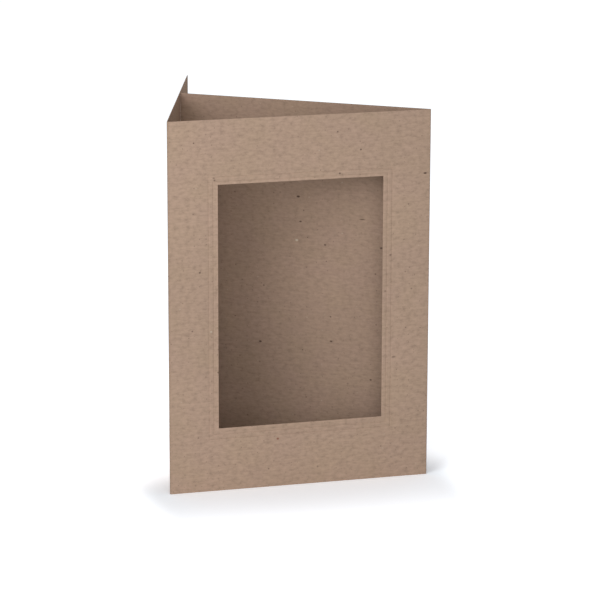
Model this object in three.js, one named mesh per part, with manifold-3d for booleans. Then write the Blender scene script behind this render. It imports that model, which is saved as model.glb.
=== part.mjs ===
// A three-panel passe-partout card: one sheet of recycled kraft card, creased twice and stood up open.
// The front panel has a die-cut window with a double line blind-embossed round it. The flap folds back
// from its left side, and the back panel folds back from its right side until its free edge leans
// against the inside of the flap. Sizes are in millimetres, with +Z up and the front facing -Y.
// The origin is the centre of the card's footprint, on the surface that it stands on.

import * as THREE from "three";
import { mergeVertices } from "three/addons/utils/BufferGeometryUtils.js";
import Module from "manifold-3d";

const wasm = await Module();
wasm.setup();

// The sheet. Each panel's width is measured over its folds.
const CARD_HEIGHT = 169;
const FRONT_WIDTH = 120;
const BACK_WIDTH = 119;
const FLAP_WIDTH = 118;
const THICKNESS = 0.32;

// How far the card stands open: the distance along the flap at which the back panel's edge leans on it,
// and the hair's breadth between them.
const LEANING_POINT = 70.6;
const LEANING_GAP = 0.25;

// The creases: the outside radius of a fold, and the bead that the creasing rule raises inside it.
const FOLD_RADIUS = 0.55;
const BEAD_RADIUS = 0.42;
const ARC_STEPS = 8;

// The window, and how far its middle lies to the right of the panel's.
const WINDOW_WIDTH = 75.6;
const WINDOW_HEIGHT = 111;
const WINDOW_SHIFT = 0.3;

// The embossed lines: the distance from the window's edge to the middle of each, their section, and how
// low the embossing die struck, because it doesn't share the cutting die's middle.
const LINE_OFFSETS = [2.05, 4.2];
const LINE_WIDTH = 0.8;
const LINE_DEPTH = 0.16;
const LINE_STEPS = 8;
const LINE_DROP = 0.85;

// How far a cutting tool stands out of the face that it cuts.
const TOOL_OVERRUN = 1;

// Each fold turns round a centre line inside it. The panels' faces lie at these distances from it.
const OUTER_OFFSET = FOLD_RADIUS;
const INNER_OFFSET = FOLD_RADIUS - THICKNESS;
const FRONT_RUN = FRONT_WIDTH - 2 * FOLD_RADIUS;
const BACK_RUN = BACK_WIDTH - FOLD_RADIUS;
const FLAP_RUN = FLAP_WIDTH - FOLD_RADIUS;

// The angles that the flap and the back panel make with the front, from the triangle between the two
// fold centres and the corner of the back panel that leans on the flap.
function standingAngles() {
  const along = LEANING_POINT - FOLD_RADIUS;
  const out = INNER_OFFSET - LEANING_GAP;
  const flapSide = Math.hypot(along, out);
  const backSide = Math.hypot(BACK_RUN, INNER_OFFSET);
  const angleBetween = (a, b, opposite) =>
    Math.acos((a * a + b * b - opposite * opposite) / (2 * a * b));
  return {
    flap: angleBetween(FRONT_RUN, flapSide, backSide) - Math.atan2(out, along),
    back: angleBetween(FRONT_RUN, backSide, flapSide) - Math.atan2(INNER_OFFSET, BACK_RUN),
  };
}

const ANGLE = standingAngles();

// A point of the plan, at a distance along a direction and a distance to the side of it.
function pointFrom(centre, direction, along, sideways, side) {
  return new THREE.Vector2(
    centre.x + along * Math.cos(direction) + sideways * Math.cos(side),
    centre.y + along * Math.sin(direction) + sideways * Math.sin(side),
  );
}

// The card's plan, seen from above, with the left fold's centre at the origin: across the flap's free
// edge and down its outside, round the left fold, along the front, round the right fold and out along
// the back panel, then home along the inner faces and over the two beads.
function plan() {
  const leftFold = new THREE.Vector2(0, 0);
  const rightFold = new THREE.Vector2(FRONT_RUN, 0);
  const flapWay = ANGLE.flap;
  const flapSide = flapWay + Math.PI / 2;
  const backWay = Math.PI - ANGLE.back;
  const backSide = backWay - Math.PI / 2;
  const down = 1.5 * Math.PI;
  const beadTurn = Math.asin(INNER_OFFSET / BEAD_RADIUS);

  const shape = new THREE.Shape();
  const flapInside = pointFrom(leftFold, flapWay, FLAP_RUN, INNER_OFFSET, flapSide);
  const flapOutside = pointFrom(leftFold, flapWay, FLAP_RUN, OUTER_OFFSET, flapSide);
  shape.moveTo(flapInside.x, flapInside.y);
  shape.lineTo(flapOutside.x, flapOutside.y);
  shape.absarc(leftFold.x, leftFold.y, OUTER_OFFSET, flapSide, down, false);
  shape.absarc(rightFold.x, rightFold.y, OUTER_OFFSET, down, backSide + 2 * Math.PI, false);
  for (const offset of [OUTER_OFFSET, INNER_OFFSET]) {
    const backEnd = pointFrom(rightFold, backWay, BACK_RUN, offset, backSide);
    shape.lineTo(backEnd.x, backEnd.y);
  }
  shape.absarc(
    rightFold.x, rightFold.y, BEAD_RADIUS, backWay - beadTurn, Math.PI + beadTurn, false,
  );
  shape.absarc(leftFold.x, leftFold.y, BEAD_RADIUS, -beadTurn, flapWay + beadTurn, false);
  shape.closePath();
  return shape;
}

function toSolid(geometry) {
  const bare = geometry.index ? geometry.toNonIndexed() : geometry.clone();
  bare.deleteAttribute("normal");
  bare.deleteAttribute("uv");
  const merged = mergeVertices(bare, 1e-4);
  return new wasm.Manifold(
    new wasm.Mesh({
      numProp: 3,
      vertProperties: merged.attributes.position.array,
      triVerts: new Uint32Array(merged.index.array),
    }),
  );
}

function toGeometry(solid) {
  const mesh = solid.getMesh();
  const geometry = new THREE.BufferGeometry()
    .setAttribute("position", new THREE.BufferAttribute(mesh.vertProperties, 3))
    .setIndex(new THREE.BufferAttribute(mesh.triVerts, 1));
  geometry.computeVertexNormals();
  return geometry;
}

const WINDOW_CENTRE = new THREE.Vector3(FRONT_RUN / 2 + WINDOW_SHIFT, 0, CARD_HEIGHT / 2);

// The block that cuts the window through the front panel.
function windowCutter() {
  const block = new THREE.BoxGeometry(
    WINDOW_WIDTH, THICKNESS + 2 * TOOL_OVERRUN, WINDOW_HEIGHT,
  );
  const middleOfSheet = -(OUTER_OFFSET + INNER_OFFSET) / 2;
  return block.translate(WINDOW_CENTRE.x, middleOfSheet, WINDOW_CENTRE.z);
}

// A closed rectangular ring round the window, mitred at its corners, whose crest swells out of a face
// towards the inside of the card and whose foot lies at footY. Taken away from the front face it presses
// the line in, and added to the inner face it raises the same line there.
function lineRing(offset, faceY, footY) {
  const section = [[-LINE_WIDTH / 2, footY]];
  for (let step = 0; step <= LINE_STEPS; step++) {
    const across = (step / LINE_STEPS - 0.5) * LINE_WIDTH;
    const swell = Math.cos((Math.PI * across) / LINE_WIDTH) ** 2;
    section.push([across, faceY + LINE_DEPTH * swell]);
  }
  section.push([LINE_WIDTH / 2, footY]);

  const corners = [[-1, -1], [1, -1], [1, 1], [-1, 1]];
  const positions = [];
  for (const [signX, signZ] of corners) {
    for (const [across, y] of section) {
      positions.push(
        WINDOW_CENTRE.x + signX * (WINDOW_WIDTH / 2 + offset + across),
        y,
        WINDOW_CENTRE.z - LINE_DROP + signZ * (WINDOW_HEIGHT / 2 + offset + across),
      );
    }
  }
  const count = section.length;
  const index = [];
  for (let corner = 0; corner < corners.length; corner++) {
    const here = corner * count;
    const next = ((corner + 1) % corners.length) * count;
    for (let k = 0; k < count; k++) {
      const after = (k + 1) % count;
      index.push(here + k, next + k, here + after);
      index.push(next + k, next + after, here + after);
    }
  }
  return new THREE.BufferGeometry()
    .setAttribute("position", new THREE.Float32BufferAttribute(positions, 3))
    .setIndex(index);
}

// The whole sheet, folded, cut and embossed.
function foldedSheet() {
  const sheet = new THREE.ExtrudeGeometry(plan(), {
    depth: CARD_HEIGHT,
    bevelEnabled: false,
    curveSegments: ARC_STEPS,
  });
  let solid = toSolid(sheet).subtract(toSolid(windowCutter()));
  for (const offset of LINE_OFFSETS) {
    solid = solid
      .subtract(toSolid(lineRing(offset, -OUTER_OFFSET, -OUTER_OFFSET - TOOL_OVERRUN)))
      .add(toSolid(lineRing(offset, -INNER_OFFSET, -INNER_OFFSET - THICKNESS / 4)));
  }
  return toGeometry(solid);
}

const kraftCard = new THREE.MeshStandardMaterial({
  name: "kraft_card",
  color: 0xab917b,
  roughness: 0.92,
  metalness: 0,
});

const card = new THREE.Mesh(foldedSheet(), kraftCard);
card.name = "folded_card";
const footprintDepth =
  FLAP_RUN * Math.sin(ANGLE.flap) + OUTER_OFFSET * Math.cos(ANGLE.flap) + OUTER_OFFSET;
card.position.set(-FRONT_RUN / 2, OUTER_OFFSET - footprintDepth / 2, 0);

const passePartoutCard = new THREE.Group();
passePartoutCard.add(card);

export default passePartoutCard;
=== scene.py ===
"""A passe-partout card of recycled kraft card, stood up open on a white table under soft studio light.

The card is one sheet in three panels: a front with a die-cut window and a double line blind-embossed
round it, a flap that folds back from its left side, and a back panel that folds back from its right
side and leans on the flap. Lengths are in metres, +Z is up and the front faces -Y.
"""

import math

import bpy
from bpy.props import FloatProperty, FloatVectorProperty, IntProperty, PointerProperty
from mathutils import Matrix, Vector


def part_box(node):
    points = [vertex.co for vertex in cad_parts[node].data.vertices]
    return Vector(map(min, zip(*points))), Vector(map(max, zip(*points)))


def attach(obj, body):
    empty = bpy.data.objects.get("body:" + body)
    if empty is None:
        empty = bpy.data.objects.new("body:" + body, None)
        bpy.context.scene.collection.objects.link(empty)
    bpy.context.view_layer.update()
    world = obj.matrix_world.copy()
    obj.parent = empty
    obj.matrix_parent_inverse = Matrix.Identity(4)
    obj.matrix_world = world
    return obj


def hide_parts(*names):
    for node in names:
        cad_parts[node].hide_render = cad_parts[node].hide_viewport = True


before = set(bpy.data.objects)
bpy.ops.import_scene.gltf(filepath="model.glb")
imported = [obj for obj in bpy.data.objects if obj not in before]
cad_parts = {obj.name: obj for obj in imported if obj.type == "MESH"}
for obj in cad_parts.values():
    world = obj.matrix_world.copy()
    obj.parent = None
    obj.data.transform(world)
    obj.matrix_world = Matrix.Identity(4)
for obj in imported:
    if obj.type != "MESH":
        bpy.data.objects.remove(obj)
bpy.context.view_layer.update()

bl_info = {
    "name": "Passe-partout card",
    "version": (1, 0, 0),
    "blender": (4, 5, 0),
    "location": "View3D > Sidebar > Card",
    "description": "Folds a kraft card with a die-cut window and sets it on a white table",
    "category": "Object",
}

MM = 0.001
NODE = "folded_card"
BODY = "root"
CARD_LOW, CARD_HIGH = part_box(NODE)


def linear(colour):
    """The linear red, green and blue of an sRGB hex colour."""
    channels = [(colour >> shift & 0xFF) / 255 for shift in (16, 8, 0)]
    return [c / 12.92 if c <= 0.04045 else ((c + 0.055) / 1.055) ** 2.4 for c in channels]


# What a user would change

def length(name, description, default):
    """A property for a length, in metres."""
    return FloatProperty(
        name=name, description=description, default=default, min=0, unit="LENGTH", precision=5
    )


def colour(name, description, default):
    """A property for a colour, given as an sRGB hex value."""
    return FloatVectorProperty(
        name=name, description=description, default=linear(default), size=3, min=0, max=1,
        subtype="COLOR",
    )


class CardSizes(bpy.types.PropertyGroup):
    """The sheet's sizes. Each panel's width is measured over its folds."""

    height: length("Height", "Height of the folds and of every panel", CARD_HIGH.z - CARD_LOW.z)
    front_width: length("Front width", "Width of the panel with the window", 120 * MM)
    back_width: length("Back width", "Width of the panel that leans on the flap", 119 * MM)
    flap_width: length("Flap width", "Width of the flap on the left", 118 * MM)
    thickness: length("Thickness", "Caliper of the card", 0.32 * MM)
    leaning_point: length("Leaning point", "Where the back panel meets the flap", 70.6 * MM)
    leaning_gap: length("Leaning gap", "Clearance between the two there", 0.25 * MM)
    fold_radius: length("Fold radius", "Outside radius of a crease", 0.55 * MM)
    bead_radius: length("Bead radius", "Radius of the bead inside a crease", 0.42 * MM)
    cut_round: length("Rounded cut", "Rounding that the die leaves on a cut edge", 0.05 * MM)
    window_width: length("Window width", "Width of the opening", 75.6 * MM)
    window_height: length("Window height", "Height of the opening", 111 * MM)
    window_shift: length("Window shift", "How far the window lies to the right", 0.3 * MM)
    inner_line: length("Inner line", "From the window's edge to the first line", 2.05 * MM)
    outer_line: length("Outer line", "From the window's edge to the second line", 4.2 * MM)
    line_width: length("Line width", "Width of an embossed line", 0.8 * MM)
    line_depth: length("Line depth", "Depth of an embossed line", 0.16 * MM)
    line_drop: length("Line drop", "How low the embossing die struck", 0.85 * MM)
    fold_steps: IntProperty(name="Fold steps", description="Facets round a fold", default=12, min=3)
    line_steps: IntProperty(name="Line steps", description="Facets over a line", default=8, min=2)


class CardFinish(bpy.types.PropertyGroup):
    """The colours of the card and the sizes of what shows in its pulp."""

    warm: colour("Warm pulp", "Redder clouds in the pulp", 0xB29886)
    cool: colour("Cool pulp", "Greener clouds in the pulp", 0xB19884)
    # Painted shade: the inside face is drawn darker, for the shade within the folded card
    painted_inside_shade: colour("Inside tint", "How the inside face differs from the outside", 0xF2F1F1)
    dark_fleck: colour("Dark fleck", "Bark and ink specks in the recycled pulp", 0x4F3F37)
    light_fleck: colour("Light fleck", "Bleached shives in the recycled pulp", 0xC9BCA8)
    red_fleck: colour("Red fleck", "A shred of coloured fibre", 0x8A5A4A)
    cloud_size: length("Cloud size", "Across a cloud in the pulp", 15 * MM)
    grain_size: length("Grain size", "Across a clump of fibres", 1.8 * MM)
    streak_height: length("Streak height", "Thickness of a streak of fibres", 0.85 * MM)
    fibre_width: length("Fibre width", "Thickness of a coarse fibre", 0.12 * MM)
    speck_spacing: length("Speck spacing", "Between the small specks", 2.6 * MM)
    # Painted shade: how far the creases and free side edges are drawn darker
    painted_edge_shade_width: length("Handled width", "How far a crease or side edge is darkened", 1.3 * MM)
    # Painted highlight: how far the window's cut edge is drawn paler
    painted_highlight_rim_width: length("Rim width", "How far the window's cut edge is pale", 1.4 * MM)
    roughness: FloatProperty(
        name="Roughness", description="Roughness of the bare card", default=0.88, min=0, max=1,
        subtype="FACTOR",
    )


class StageSettings(bpy.types.PropertyGroup):
    """The table, the lamps and the camera."""

    floor_size: length("Floor size", "Side of the white table", 12.0)
    floor_white: FloatProperty(
        name="Floor", description="Share of the light that the table sends back", default=0.96,
        min=0, max=1, subtype="FACTOR",
    )
    # Painted shadow: the table's seen white close to the card's foot, lower on the left than on the
    # right
    shadow_white_left: FloatProperty(
        name="Floor on the left", description="The table's white as seen at the card's left corner",
        default=1.41, min=0,
    )
    shadow_white_right: FloatProperty(
        name="Floor on the right", description="The table's white as seen at its right corner",
        default=1.57, min=0,
    )
    floor_far: FloatProperty(
        name="Floor far off", description="The table's white as seen there",
        default=2.7, min=0,
    )
    floor_tint: colour("Floor tint", "The cast of the table's white as seen", 0xF5F9FE)
    # How far the painted shade round the card's foot reaches, and where it lies
    shade_beside: length("Shade beside", "Reach of the shade beside the card", 12.5 * MM)
    shade_shift: length("Shade shift", "How far the shade lies to the left", 1.5 * MM)
    shade_before: length("Shade before", "Reach of the shade in front of the card", 49 * MM)
    shade_behind: length("Shade behind", "Reach of the shade behind the front panel", 22 * MM)
    sky: FloatProperty(name="Sky", description="Strength of the even light", default=0.4, min=0)
    front_power: FloatProperty(
        name="Front lamp", description="Power of the soft lamp in front", default=10.9, min=0,
        unit="POWER",
    )
    front_size: length("Front lamp's size", "Side of the soft lamp in front", 1.2)
    front_place: FloatVectorProperty(
        name="Front lamp's place", description="Where the lamp in front stands",
        default=(-0.184, -2.107, 0.691), size=3, subtype="TRANSLATION",
    )
    left_power: FloatProperty(
        name="Left lamp", description="Power of the soft lamp on the left", default=0.84, min=0,
        unit="POWER",
    )
    left_size: length("Left lamp's size", "Side of the soft lamp on the left", 0.3)
    left_place: FloatVectorProperty(
        name="Left lamp's place", description="Where the lamp on the left hangs",
        default=(-0.337, -0.337, 0.36), size=3, subtype="TRANSLATION",
    )
    camera_place: FloatVectorProperty(
        name="Camera place", description="Where the camera stands",
        default=(-0.3408, -1.3002, 0.4111), size=3, subtype="TRANSLATION",
    )
    camera_yaw: FloatProperty(
        name="Yaw", description="How far the camera looks to the right",
        default=math.radians(15.317), subtype="ANGLE",
    )
    camera_pitch: FloatProperty(
        name="Pitch", description="How far the camera looks down",
        default=math.radians(14.16), subtype="ANGLE",
    )
    camera_roll: FloatProperty(
        name="Roll", description="How far the camera leans", default=math.radians(0.135),
        subtype="ANGLE",
    )
    lens: FloatProperty(
        name="Lens", description="Focal length on a 36 mm sensor, in millimetres", default=179.52,
    )


# The folded sheet

class Station:
    """A place along the sheet: how far along it is, and its outer and inner points in plan."""

    def __init__(self, run, outer, inner, panel):
        self.run = run
        self.outer = outer
        self.inner = inner
        self.panel = panel


def standing_angles(sizes):
    """The angles that the flap and the back panel make with the front, by the cosine rule."""
    inner = sizes.fold_radius - sizes.thickness
    front = sizes.front_width - 2 * sizes.fold_radius
    back = sizes.back_width - sizes.fold_radius
    along = sizes.leaning_point - sizes.fold_radius
    out = inner - sizes.leaning_gap
    flap_side = math.hypot(along, out)
    back_side = math.hypot(back, inner)

    def angle_between(a, b, opposite):
        return math.acos((a * a + b * b - opposite * opposite) / (2 * a * b))

    flap_angle = angle_between(front, flap_side, back_side) - math.atan2(out, along)
    back_angle = angle_between(front, back_side, flap_side) - math.atan2(inner, back)
    return flap_angle, back_angle


def heading(angle):
    """The unit vector at that angle in plan."""
    return Vector((math.cos(angle), math.sin(angle)))


def even_steps(start, end, largest):
    """Places from start to end, both included, no further apart than largest."""
    count = max(1, math.ceil(abs(end - start) / largest))
    return [start + (end - start) * k / count for k in range(count + 1)]


def lines_beside(edge, outwards, sizes):
    """The grid lines that draw the embossed lines on one side of the window."""
    places = []
    for offset in (sizes.inner_line, sizes.outer_line):
        for step in range(sizes.line_steps + 1):
            across = (step / sizes.line_steps - 0.5) * sizes.line_width
            places.append(edge + outwards * (offset + across))
    return places


def grid_across(low, high, window_low, window_high, drop, sizes, largest):
    """Grid lines over a panel that has the window in it, from low to high, with the embossing low of
    the window by the drop."""
    marks = [low, window_low, window_high, high]
    marks += lines_beside(window_low - drop, -1, sizes)
    marks += lines_beside(window_high - drop, 1, sizes)
    marks.sort()
    places = [low]
    for start, end in zip(marks, marks[1:]):
        places += even_steps(start, end, largest)[1:]
    return places


# The largest step between two lines of the sheet's grid
PANEL_STEP = 6 * MM


def stations(sizes):
    """The sheet's stations, from the flap's free edge over both folds to the back panel's edge."""
    outer = sizes.fold_radius
    inner = outer - sizes.thickness
    front_run = sizes.front_width - 2 * outer
    back_run = sizes.back_width - outer
    flap_run = sizes.flap_width - outer
    flap_angle, back_angle = standing_angles(sizes)
    flap_way = flap_angle
    flap_out = flap_way + math.pi / 2
    front_out = 1.5 * math.pi
    back_way = math.pi - back_angle
    back_out = back_way + 1.5 * math.pi
    bead_turn = math.asin(inner / sizes.bead_radius)
    bead_start = sizes.bead_radius * math.cos(bead_turn)

    depth = flap_run * math.sin(flap_angle) + outer * math.cos(flap_angle) + outer
    left_fold = Vector((-front_run / 2, outer - depth / 2))
    right_fold = Vector((front_run / 2, outer - depth / 2))
    found = []

    def lay(centre, way, out, along, run, panel):
        outside = centre + heading(way) * along + heading(out) * outer
        inside = centre + heading(way) * max(along, bead_start) + heading(out) * inner
        found.append(Station(run, outside, inside, panel))

    def fold(centre, start, end, bead_from, bead_to, run, arc):
        for step in range(1, sizes.fold_steps):
            t = step / sizes.fold_steps
            turn = start + (end - start) * t
            bead = bead_from + (bead_to - bead_from) * t
            outside = centre + heading(turn) * outer
            inside = centre + heading(bead) * sizes.bead_radius
            found.append(Station(run + arc * t, outside, inside, "fold"))

    for along in reversed(even_steps(0, flap_run, PANEL_STEP)):
        lay(left_fold, flap_way, flap_out, along, flap_run - along, "flap")
    left_arc = outer * (front_out - flap_out)
    fold(
        left_fold, flap_out, front_out, flap_way + bead_turn, -bead_turn, flap_run, left_arc
    )
    front_start = flap_run + left_arc
    middle = front_run / 2 + sizes.window_shift
    columns = grid_across(
        0, front_run, middle - sizes.window_width / 2, middle + sizes.window_width / 2, 0, sizes,
        PANEL_STEP,
    )
    for along in columns:
        inside_along = min(max(along, bead_start), front_run - bead_start)
        outside = left_fold + Vector((along, -outer))
        inside = left_fold + Vector((inside_along, -inner))
        found.append(Station(front_start + along, outside, inside, "front"))
    right_arc = outer * (back_out - front_out)
    right_start = front_start + front_run
    fold(
        right_fold, front_out, back_out, math.pi + bead_turn, back_way - bead_turn, right_start,
        right_arc,
    )
    back_start = right_start + right_arc
    for along in even_steps(0, back_run, PANEL_STEP):
        lay(right_fold, back_way, back_out, along, back_start + along, "back")
    return found


def runs_along(sizes):
    """How far along the sheet the middles of the folds, the front's left edge, the start of the back
    panel and its free edge lie."""
    outer = sizes.fold_radius
    flap_angle, back_angle = standing_angles(sizes)
    flap_run = sizes.flap_width - outer
    left_arc = outer * (math.pi - flap_angle)
    front_start = flap_run + left_arc
    front_end = front_start + sizes.front_width - 2 * outer
    right_arc = outer * (math.pi - back_angle)
    back_start = front_end + right_arc
    return {
        "left fold": flap_run + left_arc / 2,
        "front": front_start - outer,
        "right fold": front_end + right_arc / 2,
        "back": back_start,
        "end": back_start + sizes.back_width - outer,
    }


def emboss(x, z, window, sizes):
    """How far the sheet is pressed back at a place on the front panel."""
    low_x, high_x, low_z, high_z = window
    level = z + sizes.line_drop
    away = max(low_x - x, x - high_x, low_z - level, level - high_z)
    for offset in (sizes.inner_line, sizes.outer_line):
        across = away - offset
        if abs(across) < sizes.line_width / 2:
            return sizes.line_depth * math.cos(math.pi * across / sizes.line_width) ** 2
    return 0.0


def sheet_mesh(sizes):
    """The folded sheet as one closed mesh, with its place on the flat sheet kept on every point."""
    across = stations(sizes)
    bottom = (sizes.height - sizes.window_height) / 2
    window = (
        sizes.window_shift - sizes.window_width / 2,
        sizes.window_shift + sizes.window_width / 2,
        bottom,
        bottom + sizes.window_height,
    )
    rows = grid_across(
        0, sizes.height, window[2], window[3], sizes.line_drop, sizes, PANEL_STEP
    )
    points = []
    places = []
    for side in ("outer", "inner"):
        for station in across:
            flat = getattr(station, side)
            for z in rows:
                back = emboss(flat.x, z, window, sizes) if station.panel == "front" else 0
                points.append((flat.x, flat.y + back, z))
                places.append((station.run, z, 0 if side == "outer" else sizes.thickness))
    column = len(rows)
    layer = len(across) * column

    def open_cell(i, j):
        if across[i].panel != "front" or across[i + 1].panel != "front":
            return False
        x = (across[i].outer.x + across[i + 1].outer.x) / 2
        z = (rows[j] + rows[j + 1]) / 2
        return window[0] < x < window[1] and window[2] < z < window[3]

    faces = []
    # The edges that only one cell has. A dict keeps them in the same order each run
    walls = {}
    for i in range(len(across) - 1):
        for j in range(column - 1):
            if open_cell(i, j):
                continue
            ring = [
                i * column + j, (i + 1) * column + j,
                (i + 1) * column + j + 1, i * column + j + 1,
            ]
            faces.append(ring)
            faces.append([layer + k for k in reversed(ring)])
            for a, b in zip(ring, ring[1:] + ring[:1]):
                if (b, a) in walls:
                    del walls[(b, a)]
                else:
                    walls[(a, b)] = True
    for a, b in walls:
        faces.append([b, a, layer + a, layer + b])
    mesh = bpy.data.meshes.new("folded_sheet")
    mesh.from_pydata(points, [], faces)
    kept = mesh.attributes.new("sheet_place", "FLOAT_VECTOR", "POINT")
    kept.data.foreach_set("vector", [value for place in places for value in place])
    mesh.validate()
    return mesh


# The material

def add_node(tree, kind, inputs, **settings):
    """Adds a node with its settings. inputs is a list in the node's own order or a dict by name or
    place. It holds sockets, nodes that give their first output, and values."""
    node = tree.nodes.new(kind)
    for name, value in settings.items():
        setattr(node, name, value)
    for name, source in inputs.items() if isinstance(inputs, dict) else enumerate(inputs):
        if isinstance(source, bpy.types.Node):
            source = source.outputs[0]
        if isinstance(source, bpy.types.NodeSocket):
            tree.links.new(source, node.inputs[name])
        else:
            node.inputs[name].default_value = source
    return node


class Fleck:
    """A fleck in the pulp, on the front's outer face or the back panel's inner one: how far along the
    panel and how high it lies, half its length and half its height, all in mm, and how strongly it
    shows."""

    def __init__(self, kind, face, along, height, half_length, half_height, strength):
        self.kind = kind
        self.face = face
        self.along = along
        self.height = height
        self.half_length = half_length
        self.half_height = half_height
        self.strength = strength


# Where the larger flecks lie, in mm from the left edge of the front, and from the right fold on the
# inside of the back panel
FLECKS = (
    Fleck("dark", "front", 117.5, 140.3, 0.9, 0.5, 0.9),
    Fleck("dark", "front", 20.7, 143.0, 0.6, 0.4, 0.5),
    Fleck("dark", "front", 14.2, 101.0, 0.55, 0.5, 0.7),
    Fleck("dark", "front", 101.7, 103.8, 0.6, 0.45, 0.6),
    Fleck("dark", "front", 111.7, 87.7, 0.5, 0.45, 0.45),
    Fleck("dark", "front", 103.7, 56.5, 1.1, 0.4, 0.55),
    Fleck("dark", "front", 68.3, 7.7, 0.5, 0.6, 0.45),
    Fleck("dark", "front", 98.0, 15.0, 0.4, 0.4, 0.45),
    Fleck("dark", "front", 104.7, 23.0, 0.4, 0.4, 0.45),
    Fleck("dark", "front", 6.3, 106.8, 0.45, 0.4, 0.25),
    Fleck("red", "front", 49.7, 22.2, 0.7, 0.6, 0.85),
    Fleck("light", "front", 19.2, 73.8, 0.6, 0.5, 0.7),
    Fleck("dark", "back", 61.6, 124.9, 1.0, 0.6, 0.9),
    Fleck("dark", "back", 60.5, 113.4, 0.7, 0.5, 0.75),
    Fleck("dark", "back", 48.7, 103.4, 0.7, 0.5, 0.75),
    Fleck("dark", "back", 79.9, 55.4, 0.8, 0.55, 0.85),
    Fleck("dark", "back", 45.6, 58.4, 0.7, 0.5, 0.8),
    Fleck("dark", "back", 26.5, 41.9, 0.7, 0.5, 0.7),
    Fleck("dark", "back", 22.0, 103.9, 0.8, 0.6, 0.7),
    Fleck("dark", "back", 31.1, 116.5, 1.6, 0.3, 0.7),
    Fleck("light", "back", 62.3, 104.6, 0.8, 0.6, 0.9),
)

# How far the pulp's patterns move, in mm, for each mm of depth in the sheet
FACE_SHIFT = (1900, 700, 0)
# A fleck or speck is whole as far as the first share of its size and gone at the second
FLECK_CORE = 0.4
FLECK_RIM = 1.2

# How bright the thickest clumps of pulp are, and the thinnest ones on either face
THICK_CLUMP = 1.088
THIN_CLUMP_OUTSIDE = 0.76
THIN_CLUMP_INSIDE = 0.79
# How far the streaks and the broad differences in thickness go either way from 1
STREAK_CONTRAST = 0.062
BROAD_CONTRAST = 0.02
# How far from its middle the mottle still draws a coarse fibre, and where the other one breaks it off
FIBRE_REACH = 0.035
FIBRE_BREAKS = (0.5, 0.62)
# How much light a coarse fibre adds, and how far it stands out beside the grain
FIBRE_LIGHT = 0.03
FIBRE_RISE = 0.4
# How dark the painted shade along the creases and free side edges is, and how bright the painted
# highlight round the window's cut edge is
PAINTED_EDGE_SHADE = 0.88
PAINTED_RIM_HIGHLIGHT = 1.06
# How high the grain stands, and how much of that the eye sees
GRAIN_RISE = 0.03 * MM
GRAIN_STRENGTH = 0.35


def mottle(tree, place, cell, stretch, detail, roughness, seed):
    """A soft mottle from 0 to 1 with cells of that size in mm, drawn out along the sheet."""
    scaled = add_node(
        tree, "ShaderNodeMapping",
        {
            "Vector": place, "Location": (seed, seed * 1.7, 0),
            "Scale": (1 / (cell * stretch), 1 / cell, 1),
        },
    )
    return add_node(
        tree, "ShaderNodeTexNoise",
        {"Vector": scaled, "Scale": 1.0, "Detail": detail, "Roughness": roughness},
        noise_dimensions="2D",
    ).outputs["Fac"]


def specks(tree, place, spacing, share, radius, seed):
    """A mask of round specks up to that radius in mm, in that share of the cells of that spacing."""
    scaled = add_node(
        tree, "ShaderNodeMapping",
        {"Vector": place, "Location": (seed, seed * 1.3, 0), "Scale": (1 / spacing,) * 3},
    )
    cells = add_node(
        tree, "ShaderNodeTexVoronoi", {"Vector": scaled, "Scale": 1.0, "Randomness": 1.0},
        voronoi_dimensions="2D",
    )
    draw = add_node(tree, "ShaderNodeSeparateColor", [cells.outputs["Color"]]).outputs
    chosen = add_node(tree, "ShaderNodeMath", [draw["Red"], 1 - share], operation="GREATER_THAN")
    reach = add_node(
        tree, "ShaderNodeMapRange", [draw["Green"], 0, 1, 0.5 * radius / spacing, radius / spacing]
    )
    away = add_node(
        tree, "ShaderNodeMath", [cells.outputs["Distance"], reach], operation="DIVIDE"
    )
    spot = add_node(
        tree, "ShaderNodeMapRange", [away, FLECK_CORE, FLECK_RIM, 1.0, 0.0],
        interpolation_type="SMOOTHSTEP",
    )
    shown = add_node(tree, "ShaderNodeMath", [chosen, spot], operation="MULTIPLY")
    return add_node(tree, "ShaderNodeMath", [shown, draw["Blue"]], operation="MULTIPLY")


def coarse_fibres(tree, finish, place):
    """Coarse fibres, drawn where a winding mottle crosses its middle and broken up by another."""
    fibre = finish.fibre_width / MM
    winding = mottle(tree, place, 10 * fibre, stretch=2.2, detail=1.0, roughness=0.5, seed=53.0)
    broken = mottle(tree, place, 14 * fibre, stretch=1.0, detail=0.0, roughness=0.5, seed=61.0)
    off_middle = add_node(tree, "ShaderNodeMath", [winding, 0.5], operation="SUBTRACT")
    crossing = add_node(tree, "ShaderNodeMath", [off_middle], operation="ABSOLUTE")
    lines = add_node(
        tree, "ShaderNodeMapRange", [crossing, 0.0, FIBRE_REACH, 1.0, 0.0],
        interpolation_type="SMOOTHSTEP",
    )
    lengths = add_node(
        tree, "ShaderNodeMapRange", [broken, *FIBRE_BREAKS, 0.0, 1.0],
        interpolation_type="SMOOTHSTEP",
    )
    return add_node(tree, "ShaderNodeMath", [lines, lengths], operation="MULTIPLY")


def pulp_colour(tree, finish, place, inside):
    """The pulp's own colour, in clouds that are a little redder or greener, with the inside face
    painted darker as shade.
    """
    clouds = mottle(
        tree, place, finish.cloud_size / MM, stretch=1.2, detail=1.0, roughness=0.5, seed=11.0
    )
    tint = add_node(tree, "ShaderNodeMapRange", [clouds, 0.3, 0.7, 0.0, 1.0])
    pulp = add_node(
        tree, "ShaderNodeMix",
        {0: tint, 6: (*finish.warm, 1), 7: (*finish.cool, 1)}, data_type="RGBA",
    ).outputs[2]
    # Painted shade: the inside face darker than the outside
    inside_shade_colour = add_node(
        tree, "ShaderNodeMix",
        {0: inside, 6: (1, 1, 1, 1), 7: (*finish.painted_inside_shade, 1)}, data_type="RGBA",
    ).outputs[2]
    return add_node(tree, "ShaderNodeVectorMath", [pulp, inside_shade_colour], operation="MULTIPLY")


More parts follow.
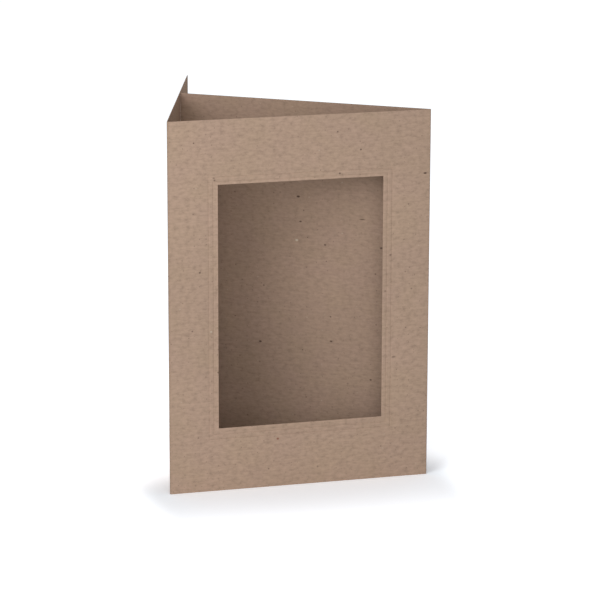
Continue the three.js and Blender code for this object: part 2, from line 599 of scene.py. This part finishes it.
def pulp_shade(tree, finish, place, inside, grain, fibres):
    """How much lighter or darker the pulp is from place to place, round 1."""
    broad = mottle(
        tree, place, 2.4 * finish.cloud_size / MM, stretch=1.4, detail=0.0, roughness=0.5, seed=17.0
    )
    streaks = mottle(
        tree, place, finish.streak_height / MM, stretch=5.0, detail=1.0, roughness=0.5, seed=23.0
    )
    # Thin places in the pulp are darker than thick ones are light, so the grain is bent downwards
    bare = add_node(tree, "ShaderNodeMath", [1.0, grain], operation="SUBTRACT")
    thin = add_node(tree, "ShaderNodeMath", [bare, 3.0], operation="POWER")
    thinnest = add_node(
        tree, "ShaderNodeMapRange", [inside, 0.0, 1.0, THIN_CLUMP_OUTSIDE, THIN_CLUMP_INSIDE]
    )
    clumps = add_node(tree, "ShaderNodeMapRange", [thin, 0.0, 0.5, THICK_CLUMP, thinnest])
    lines = add_node(
        tree, "ShaderNodeMapRange", [streaks, 0.2, 0.8, 1 - STREAK_CONTRAST, 1 + STREAK_CONTRAST]
    )
    thickness = add_node(
        tree, "ShaderNodeMapRange", [broad, 0.3, 0.7, 1 - BROAD_CONTRAST, 1 + BROAD_CONTRAST]
    )
    lined = add_node(tree, "ShaderNodeMath", [clumps, lines], operation="MULTIPLY")
    shade = add_node(tree, "ShaderNodeMath", [lined, thickness], operation="MULTIPLY")
    return add_node(
        tree, "ShaderNodeMath", [fibres, FIBRE_LIGHT, shade], operation="MULTIPLY_ADD"
    )


def distance_from(tree, value, middle):
    """How far a value lies from the middle, either way."""
    off = add_node(tree, "ShaderNodeMath", [value, middle], operation="SUBTRACT")
    return add_node(tree, "ShaderNodeMath", [off], operation="ABSOLUTE")


def painted_edge_shade_and_rim_highlight(tree, finish, sizes, run, height):
    """Painted shade: the creases and the sheet's free side edges are drawn a little darker, where shade
    falls
    on the turning card. Painted highlight: a paler band round the window's cut edge, where it catches
    the light."""
    runs = {name: value / MM for name, value in runs_along(sizes).items()}
    to_fold = add_node(
        tree, "ShaderNodeMath",
        [
            distance_from(tree, run, runs["left fold"]),
            distance_from(tree, run, runs["right fold"]),
        ],
        operation="MINIMUM",
    )
    to_end = add_node(tree, "ShaderNodeMath", [runs["end"], run], operation="SUBTRACT")
    to_side = add_node(tree, "ShaderNodeMath", [run, to_end], operation="MINIMUM")
    to_edge = add_node(tree, "ShaderNodeMath", [to_fold, to_side], operation="MINIMUM")
    # Painted shade along the creases and free side edges
    painted_crease_shade = add_node(
        tree, "ShaderNodeMapRange", [to_edge, 0.0, finish.painted_edge_shade_width / MM, PAINTED_EDGE_SHADE, 1.0],
        interpolation_type="SMOOTHSTEP",
    )

    middle = runs["front"] + (sizes.front_width / 2 + sizes.window_shift) / MM
    beside = add_node(
        tree, "ShaderNodeMath",
        [distance_from(tree, run, middle), sizes.window_width / 2 / MM], operation="SUBTRACT",
    )
    above = add_node(
        tree, "ShaderNodeMath",
        [distance_from(tree, height, sizes.height / 2 / MM), sizes.window_height / 2 / MM],
        operation="SUBTRACT",
    )
    outside = add_node(tree, "ShaderNodeMath", [beside, above], operation="MAXIMUM")
    # Painted highlight: a paler band round the window's cut edge, where it catches the light
    rim_highlight = add_node(
        tree, "ShaderNodeMapRange", [outside, 0.0, finish.painted_highlight_rim_width / MM, PAINTED_RIM_HIGHLIGHT, 1.0],
        interpolation_type="SMOOTHSTEP",
    )
    return add_node(tree, "ShaderNodeMath", [painted_crease_shade, rim_highlight], operation="MULTIPLY")


def scattered(tree, place, spacing, share, radius, seed, strength):
    """Specks that show no more than that strongly."""
    mask = specks(tree, place, spacing, share, radius, seed)
    return add_node(tree, "ShaderNodeMath", [mask, strength], operation="MULTIPLY")


def fleck_masks(tree, finish, sizes, in_mm, place):
    """Where each kind of fleck shows: the scattered specks and the flecks that have a place."""
    runs = runs_along(sizes)
    spacing = finish.speck_spacing / MM
    small = scattered(
        tree, place, spacing, share=0.25, radius=0.36, seed=71.0, strength=0.5
    )
    large = scattered(
        tree, place, 4.2 * spacing, share=0.3, radius=0.52, seed=83.0, strength=0.8
    )
    pale = scattered(
        tree, place, 3.0 * spacing, share=0.25, radius=0.42, seed=97.0, strength=0.45
    )
    masks = {
        "dark": add_node(tree, "ShaderNodeMath", [small, large], operation="MAXIMUM"),
        "light": pale,
        "red": 0.0,
    }
    for fleck in FLECKS:
        depth = 0 if fleck.face == "front" else sizes.thickness / MM
        centre = (runs[fleck.face] / MM + fleck.along, fleck.height, depth)
        # The last value keeps the fleck on its own face
        stretch = (1 / fleck.half_length, 1 / fleck.half_height, 10)
        moved = add_node(
            tree, "ShaderNodeVectorMath",
            [in_mm, stretch, [-c * k for c, k in zip(centre, stretch)]], operation="MULTIPLY_ADD",
        )
        away = add_node(tree, "ShaderNodeVectorMath", [moved], operation="LENGTH")
        spot = add_node(
            tree, "ShaderNodeMapRange",
            [away.outputs["Value"], FLECK_CORE, FLECK_RIM, fleck.strength, 0.0],
            interpolation_type="SMOOTHSTEP",
        )
        masks[fleck.kind] = add_node(
            tree, "ShaderNodeMath", [masks[fleck.kind], spot], operation="MAXIMUM"
        )
    return masks


def recycled_kraft(finish, sizes):
    """Recycled kraft card, uncoated and lightly calendered: a matt brown face with fibres lying in
    clumps and streaks along the sheet, soft clouds where the pulp is redder or greener, and specks of
    bark and old ink. Painted into its colour are shade along the creases and free side edges, a
    highlight round the window's cut edge and a darker inside face for the shade within the folded card.
    Real fibres are about 0.03 mm wide, too fine to show, and the coarse ones are drawn four times as
    wide."""
    material = bpy.data.materials.new("recycled_kraft_card_uncoated")
    material.use_nodes = True
    tree = material.node_tree
    tree.nodes.clear()
    kept = add_node(tree, "ShaderNodeAttribute", {}, attribute_name="sheet_place")
    in_mm = add_node(
        tree, "ShaderNodeVectorMath", {0: kept.outputs["Vector"], "Scale": 1 / MM},
        operation="SCALE",
    )
    parts = add_node(tree, "ShaderNodeSeparateXYZ", [in_mm]).outputs
    run, height, depth = parts["X"], parts["Y"], parts["Z"]
    # The two faces show different pulp, so the patterns are shifted by the depth in the sheet
    place = add_node(
        tree, "ShaderNodeVectorMath", [depth, FACE_SHIFT, in_mm], operation="MULTIPLY_ADD"
    )
    inside = add_node(tree, "ShaderNodeMapRange", [depth, 0.0, sizes.thickness / MM, 0.0, 1.0])

    grain = mottle(
        tree, place, finish.grain_size / MM, stretch=1.45, detail=3.0, roughness=0.7, seed=37.0
    )
    fibres = coarse_fibres(tree, finish, place)
    base = pulp_colour(tree, finish, place, inside)
    pulp = pulp_shade(tree, finish, place, inside, grain, fibres)
    # Painted shade along the creases and free side edges, and a painted highlight round the window
    painted_edge_light = painted_edge_shade_and_rim_highlight(tree, finish, sizes, run, height)
    shade = add_node(tree, "ShaderNodeMath", [pulp, painted_edge_light], operation="MULTIPLY")
    shaded = add_node(
        tree, "ShaderNodeVectorMath", {0: base, "Scale": shade}, operation="SCALE"
    ).outputs[0]
    colours = {
        "dark": finish.dark_fleck, "light": finish.light_fleck, "red": finish.red_fleck
    }
    for kind, mask in fleck_masks(tree, finish, sizes, in_mm, place).items():
        shaded = add_node(
            tree, "ShaderNodeMix", {0: mask, 6: shaded, 7: (*colours[kind], 1)}, data_type="RGBA"
        ).outputs[2]

    rise = add_node(
        tree, "ShaderNodeMath", [fibres, FIBRE_RISE, grain], operation="MULTIPLY_ADD"
    )
    relief = add_node(
        tree, "ShaderNodeBump",
        {"Height": rise, "Strength": GRAIN_STRENGTH, "Distance": GRAIN_RISE},
    )
    # Bare card hardly shines, even where the light grazes it
    face = add_node(
        tree, "ShaderNodeBsdfPrincipled",
        {
            "Base Color": shaded, "Roughness": finish.roughness, "IOR": 1.5,
            "Specular IOR Level": 0.05, "Normal": relief,
        },
    )
    add_node(tree, "ShaderNodeOutputMaterial", {"Surface": face})
    return material


# Edges of the mesh that turn by less than the first angle are smooth, and the cut edges, which turn
# by more than the second, are rounded
SMOOTH_TURN = math.radians(35)
CUT_TURN = math.radians(70)


class KRAFT_OT_fold_card(bpy.types.Operator):
    """Fold, cut and emboss the sheet and give it its kraft finish"""

    bl_idname = "kraft.fold_card"
    bl_label = "Fold the card"

    def execute(self, context):
        sizes = context.scene.card_sizes
        mesh = sheet_mesh(sizes)
        mesh.materials.append(recycled_kraft(context.scene.card_finish, sizes))
        card = bpy.data.objects.new("kraft_sheet", mesh)
        context.scene.collection.objects.link(card)
        mesh.shade_smooth()
        mesh.set_sharp_from_angle(angle=SMOOTH_TURN)
        rounding = card.modifiers.new("die_rounding", "BEVEL")
        rounding.width = sizes.cut_round
        rounding.segments = 2
        rounding.limit_method = "ANGLE"
        rounding.angle_limit = CUT_TURN
        rounding.harden_normals = True
        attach(card, BODY)
        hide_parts(NODE)
        return {"FINISHED"}


# The stage

def add_sight(tree):
    """1 where the camera sees the surface, itself or mirrored in something glossy."""
    path = add_node(tree, "ShaderNodeLightPath", {}).outputs
    return add_node(
        tree, "ShaderNodeMath", [path["Is Camera Ray"], path["Is Glossy Ray"]],
        operation="MAXIMUM",
    )


# Where the painted shade round the card starts to fade and where it ends, in shares of its reach
SHADE_FADES = 0.1
SHADE_ENDS = 2.2


def shade_round_card(tree, spot, stage):
    """How far a place on the table lies from the front panel's foot, in shares of the painted shade's
    reach.
    """
    across = add_node(tree, "ShaderNodeMath", [spot["X"], stage.shade_shift], operation="ADD")
    sideways = add_node(tree, "ShaderNodeMath", [across], operation="ABSOLUTE")
    past_end = add_node(tree, "ShaderNodeMath", [sideways, CARD_HIGH.x], operation="SUBTRACT")
    outside = add_node(tree, "ShaderNodeMath", [past_end, 0.0], operation="MAXIMUM")
    beside = add_node(tree, "ShaderNodeMath", [outside, stage.shade_beside], operation="DIVIDE")
    back = add_node(tree, "ShaderNodeMath", [spot["Y"], CARD_LOW.y], operation="SUBTRACT")
    behind = add_node(tree, "ShaderNodeMath", [back, stage.shade_behind], operation="DIVIDE")
    before = add_node(tree, "ShaderNodeMath", [back, -stage.shade_before], operation="DIVIDE")
    away = add_node(tree, "ShaderNodeMath", [behind, before], operation="MAXIMUM")
    both = add_node(tree, "ShaderNodeCombineXYZ", [beside, away, 0.0])
    return add_node(tree, "ShaderNodeVectorMath", [both], operation="LENGTH").outputs["Value"]


def white_table(stage):
    """Matt white paint on a flat table top, with no shine. The camera sees it whiter than it lights the
    card, so the shadow stays pale and the table runs out into plain white. Close to the card's foot its
    seen white is lower, and lower on the left than on the right: a painted shadow laid over the real
    one."""
    material = bpy.data.materials.new("white_table_matt")
    material.use_nodes = True
    tree = material.node_tree
    tree.nodes.clear()
    geometry = add_node(tree, "ShaderNodeNewGeometry", {})
    spot = add_node(tree, "ShaderNodeSeparateXYZ", [geometry.outputs["Position"]]).outputs
    # Painted shadow: the seen white is lower close to the card's foot and rises to the far white away
    # from it
    painted_shadow_white = add_node(
        tree, "ShaderNodeMapRange",
        [spot["X"], CARD_LOW.x, CARD_HIGH.x, stage.shadow_white_left, stage.shadow_white_right],
    )
    seen = add_node(
        tree, "ShaderNodeMapRange",
        [shade_round_card(tree, spot, stage), SHADE_FADES, SHADE_ENDS, painted_shadow_white, stage.floor_far],
        interpolation_type="SMOOTHSTEP",
    )
    # The card tints the light that it sends to the table, and the cooler white makes up for it
    cooled = add_node(
        tree, "ShaderNodeVectorMath", {0: stage.floor_tint, "Scale": seen}, operation="SCALE"
    )
    white = add_node(
        tree, "ShaderNodeMix",
        {0: add_sight(tree), 6: (*[stage.floor_white] * 3, 1), 7: cooled}, data_type="RGBA",
    ).outputs[2]
    matt = add_node(tree, "ShaderNodeBsdfDiffuse", {"Color": white, "Roughness": 0.0})
    add_node(tree, "ShaderNodeOutputMaterial", {"Surface": matt})
    return material


def make_floor(stage):
    """The table top, one large square."""
    half = stage.floor_size / 2
    mesh = bpy.data.meshes.new("table_top")
    corners = [(-half, -half, 0), (half, -half, 0), (half, half, 0), (-half, half, 0)]
    mesh.from_pydata(corners, [], [(0, 1, 2, 3)])
    mesh.materials.append(white_table(stage))
    floor = bpy.data.objects.new("table", mesh)
    bpy.context.scene.collection.objects.link(floor)


def make_sky(stage):
    """Even white light, seen by the camera as plain white."""
    world = bpy.data.worlds.new("white_room")
    world.use_nodes = True
    tree = world.node_tree
    tree.nodes.clear()
    strength = add_node(tree, "ShaderNodeMapRange", [add_sight(tree), 0.0, 1.0, stage.sky, 1.0])
    light = add_node(
        tree, "ShaderNodeBackground", {"Color": (1, 1, 1, 1), "Strength": strength}
    )
    add_node(tree, "ShaderNodeOutputWorld", {"Surface": light})
    bpy.context.scene.world = world


def make_lamp(name, place, power, size):
    """A large soft lamp that faces the middle of the card."""
    light = bpy.data.lights.new(name, "AREA")
    light.shape = "SQUARE"
    light.size = size
    light.energy = power
    lamp = bpy.data.objects.new(name, light)
    bpy.context.scene.collection.objects.link(lamp)
    lamp.location = place
    lamp.visible_camera = False
    aim = Vector((0, 0, (CARD_LOW.z + CARD_HIGH.z) / 2)) - lamp.location
    lamp.rotation_euler = aim.to_track_quat("-Z", "Y").to_euler()


def make_camera(stage):
    """The camera, a long way off with a long lens, a little to the left and above."""
    data = bpy.data.cameras.new("camera")
    data.lens = stage.lens
    data.sensor_width = 36
    data.clip_end = 50
    camera = bpy.data.objects.new("camera", data)
    bpy.context.scene.collection.objects.link(camera)
    yaw, pitch = stage.camera_yaw, stage.camera_pitch
    forward = Vector(
        (math.sin(yaw) * math.cos(pitch), math.cos(yaw) * math.cos(pitch), -math.sin(pitch))
    )
    turn = forward.to_track_quat("-Z", "Y").to_matrix().to_4x4()
    camera.matrix_world = (
        Matrix.Translation(stage.camera_place) @ turn @ Matrix.Rotation(stage.camera_roll, 4, "Z")
    )
    bpy.context.scene.camera = camera


class KRAFT_OT_set_stage(bpy.types.Operator):
    """Lay the white table, light it softly and set up the camera"""

    bl_idname = "kraft.set_stage"
    bl_label = "Set the stage"

    def execute(self, context):
        stage = context.scene.card_stage
        make_floor(stage)
        make_sky(stage)
        make_lamp("front_lamp", stage.front_place, stage.front_power, stage.front_size)
        make_lamp("left_lamp", stage.left_place, stage.left_power, stage.left_size)
        make_camera(stage)
        context.scene.view_settings.view_transform = "Standard"
        return {"FINISHED"}


class KRAFT_PT_card(bpy.types.Panel):
    """The card's tools and sizes"""

    bl_label = "Passe-partout card"
    bl_idname = "KRAFT_PT_card"
    bl_space_type = "VIEW_3D"
    bl_region_type = "UI"
    bl_category = "Card"

    def draw(self, context):
        for group in (
            context.scene.card_sizes, context.scene.card_finish, context.scene.card_stage
        ):
            box = self.layout.box()
            for name in group.__annotations__:
                box.prop(group, name)
        self.layout.operator(KRAFT_OT_fold_card.bl_idname)
        self.layout.operator(KRAFT_OT_set_stage.bl_idname)


CLASSES = (
    CardSizes, CardFinish, StageSettings, KRAFT_OT_fold_card, KRAFT_OT_set_stage, KRAFT_PT_card,
)


def register():
    for item in CLASSES:
        bpy.utils.register_class(item)
    bpy.types.Scene.card_sizes = PointerProperty(type=CardSizes)
    bpy.types.Scene.card_finish = PointerProperty(type=CardFinish)
    bpy.types.Scene.card_stage = PointerProperty(type=StageSettings)


def unregister():
    del bpy.types.Scene.card_stage
    del bpy.types.Scene.card_finish
    del bpy.types.Scene.card_sizes
    for item in reversed(CLASSES):
        bpy.utils.unregister_class(item)


def main():
    register()
    bpy.ops.kraft.fold_card()
    bpy.ops.kraft.set_stage()


if __name__ == "__main__":
    main()
